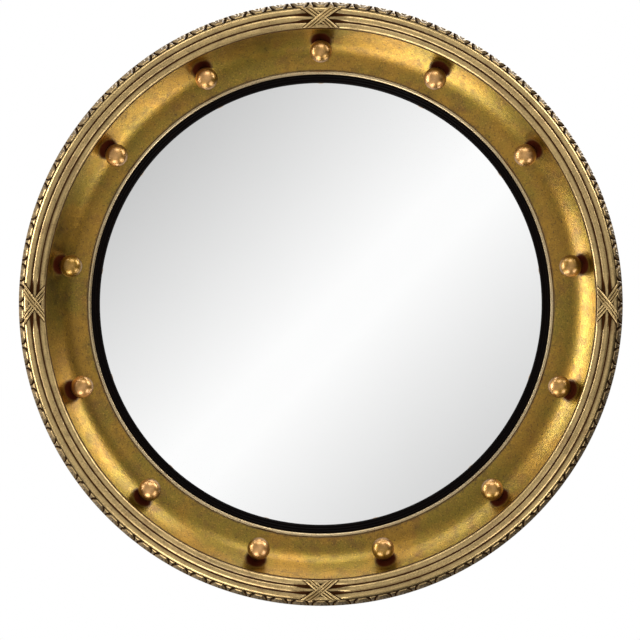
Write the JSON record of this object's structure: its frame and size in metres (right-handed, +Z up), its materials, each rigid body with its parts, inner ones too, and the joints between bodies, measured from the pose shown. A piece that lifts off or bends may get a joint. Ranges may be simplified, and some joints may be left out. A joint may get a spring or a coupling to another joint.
{
  "type": "convex mirror",
  "caption": "Round gilt wall mirror with a convex plate, a black slip, a deep hollow set with balls, and a reeded rim tied with crossed ribbons.",
  "frame": {"origin": "centre of the ring, on the flat back face that lies on the wall", "axes": "+Z up; +Y out of the back, into the wall; the mirror looks along -Y; +X to the right as seen from the front"},
  "size_m": [0.4802, 0.0585, 0.4802],
  "materials": {
    "gilt": "burnished gold leaf over red bole on gessoed wood",
    "gilt_balls": "burnished gold leaf on turned wood",
    "gilt_reeds": "gold leaf, dark in the grooves",
    "gilt_ribbons": "gold leaf on composition, dark in the recesses",
    "gilt_leaf_edge": "gold leaf on composition, dark in the recesses",
    "ebonised": "black, satin",
    "mirror": "silvered glass",
    "pine": "plain pine, darkened with age",
    "board": "plain thin plywood",
    "felt": "dark felt",
    "cork": "plain cork",
    "brass": "satin, slightly dull",
    "steel": "plain steel"
  },
  "bodies": {
    "frame": {"carcass_ring": "pine", "back_ring": "pine", "backboard": "board", "mirror_plate": "mirror", "slip_ring": "ebonised", "retaining_ring": "pine", "packing_ring": "felt", "cork_blocks": "cork", "cavetto_ring": "gilt", "ball_dowels": "pine", "reeded_rim": "gilt_reeds", "leaf_edge_band": "gilt_leaf_edge", "turn_button_screws": "steel", "hanger_screws": "steel", "hanger_strap_left": "brass", "hanger_strap_right": "brass", "ball_01": "gilt_balls", "ball_02": "gilt_balls", "ball_03": "gilt_balls", "ball_04": "gilt_balls", "ball_05": "gilt_balls", "ball_06": "gilt_balls", "ball_07": "gilt_balls", "ball_08": "gilt_balls", "ball_09": "gilt_balls", "ball_10": "gilt_balls", "ball_11": "gilt_balls", "ball_12": "gilt_balls", "ball_13": "gilt_balls", "ribbon_tie_top": "gilt_ribbons", "ribbon_tie_right": "gilt_ribbons", "ribbon_tie_bottom": "gilt_ribbons", "ribbon_tie_left": "gilt_ribbons"},
    "turn_button_1": {"turn_button_1": "brass"},
    "turn_button_2": {"turn_button_2": "brass"},
    "turn_button_3": {"turn_button_3": "brass"},
    "turn_button_4": {"turn_button_4": "brass"},
    "turn_button_5": {"turn_button_5": "brass"},
    "turn_button_6": {"turn_button_6": "brass"},
    "d_ring_left": {"d_ring_left": "brass"},
    "d_ring_right": {"d_ring_right": "brass"}
  },
  "joints": [
    {"name": "turn_button_1_pivot", "type": "hinge", "parent": "frame", "child": "turn_button_1", "pos_m": [0.1015, -0.007, 0.1758], "axis": [0, 1, 0], "range_deg": [-140, 140]},
    {"name": "turn_button_2_pivot", "type": "hinge", "parent": "frame", "child": "turn_button_2", "pos_m": [0.203, -0.007, 0], "axis": [0, 1, 0], "range_deg": [-140, 140]},
    {"name": "turn_button_3_pivot", "type": "hinge", "parent": "frame", "child": "turn_button_3", "pos_m": [0.1015, -0.007, -0.1758], "axis": [0, 1, 0], "range_deg": [-140, 140]},
    {"name": "turn_button_4_pivot", "type": "hinge", "parent": "frame", "child": "turn_button_4", "pos_m": [-0.1015, -0.007, -0.1758], "axis": [0, 1, 0], "range_deg": [-140, 140]},
    {"name": "turn_button_5_pivot", "type": "hinge", "parent": "frame", "child": "turn_button_5", "pos_m": [-0.203, -0.007, 0], "axis": [0, 1, 0], "range_deg": [-140, 140]},
    {"name": "turn_button_6_pivot", "type": "hinge", "parent": "frame", "child": "turn_button_6", "pos_m": [-0.1015, -0.007, 0.1758], "axis": [0, 1, 0], "range_deg": [-140, 140]},
    {"name": "d_ring_left_hinge", "type": "hinge", "parent": "frame", "child": "d_ring_left", "pos_m": [-0.179, -0.0057, 0.093], "axis": [1, 0, 0], "range_deg": [0, 175]},
    {"name": "d_ring_right_hinge", "type": "hinge", "parent": "frame", "child": "d_ring_right", "pos_m": [0.179, -0.0057, 0.093], "axis": [1, 0, 0], "range_deg": [0, 175]}
  ]
}
